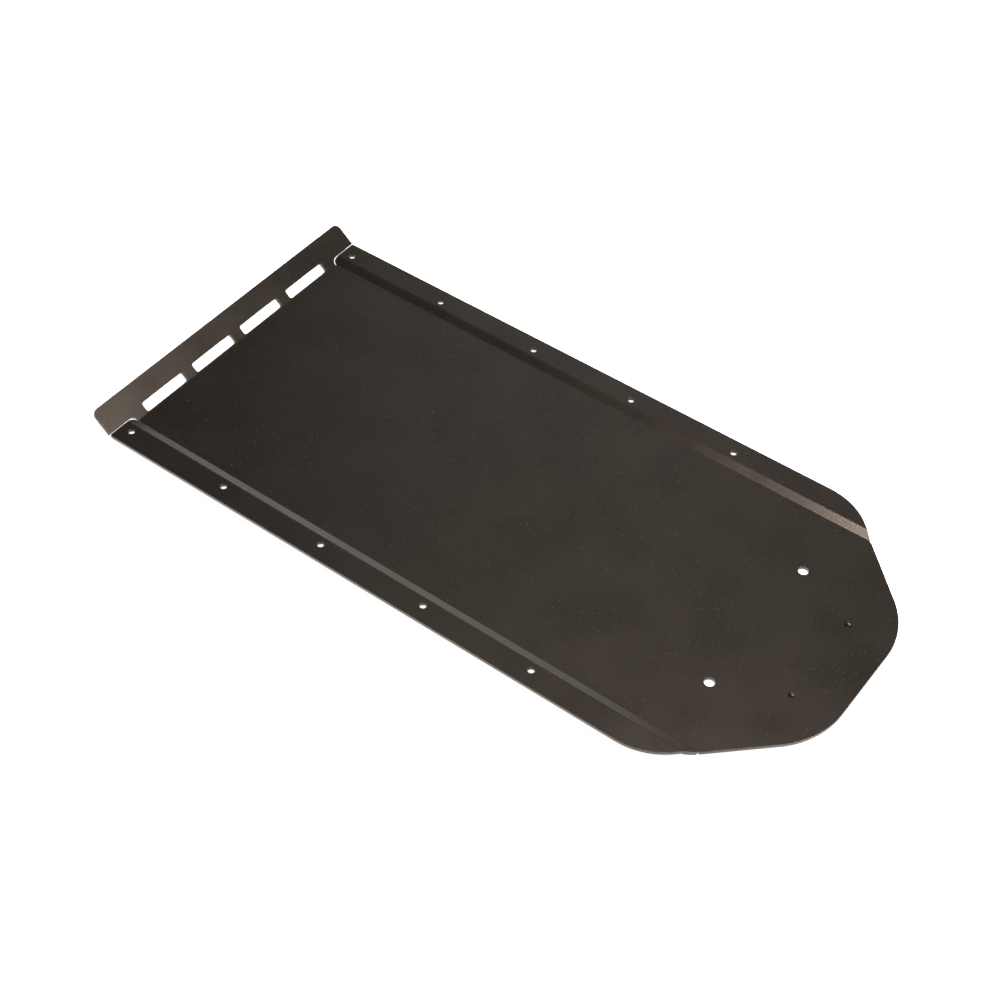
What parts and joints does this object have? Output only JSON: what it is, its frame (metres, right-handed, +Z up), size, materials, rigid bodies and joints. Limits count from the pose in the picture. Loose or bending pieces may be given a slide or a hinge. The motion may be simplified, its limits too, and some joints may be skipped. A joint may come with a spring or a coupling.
{
  "type": "atv skid plate",
  "caption": "Bolt-on belly skid plate in formed sheet: sunken pan, joggled side rails, tapered nose with riveted domes, upturned slotted rear flange.",
  "frame": {"origin": "centre of the rail bolt pattern, on the plane of the side rails' top faces, which seat against the machine", "axes": "+X towards the nose, +Y to the left rail, +Z up towards the machine"},
  "size_m": [0.63, 0.307, 0.0236],
  "materials": {
    "plate_coat": "fine-textured semi-matt black powder coat over 3 mm sheet",
    "rivet_coat": "smooth satin black",
    "washer_coat": "satin black"
  },
  "bodies": {
    "root": {"skid_plate": "plate_coat", "rivet_left": "rivet_coat", "rivet_right": "rivet_coat", "washer_left": "washer_coat", "washer_right": "washer_coat"}
  },
  "joints": []
}
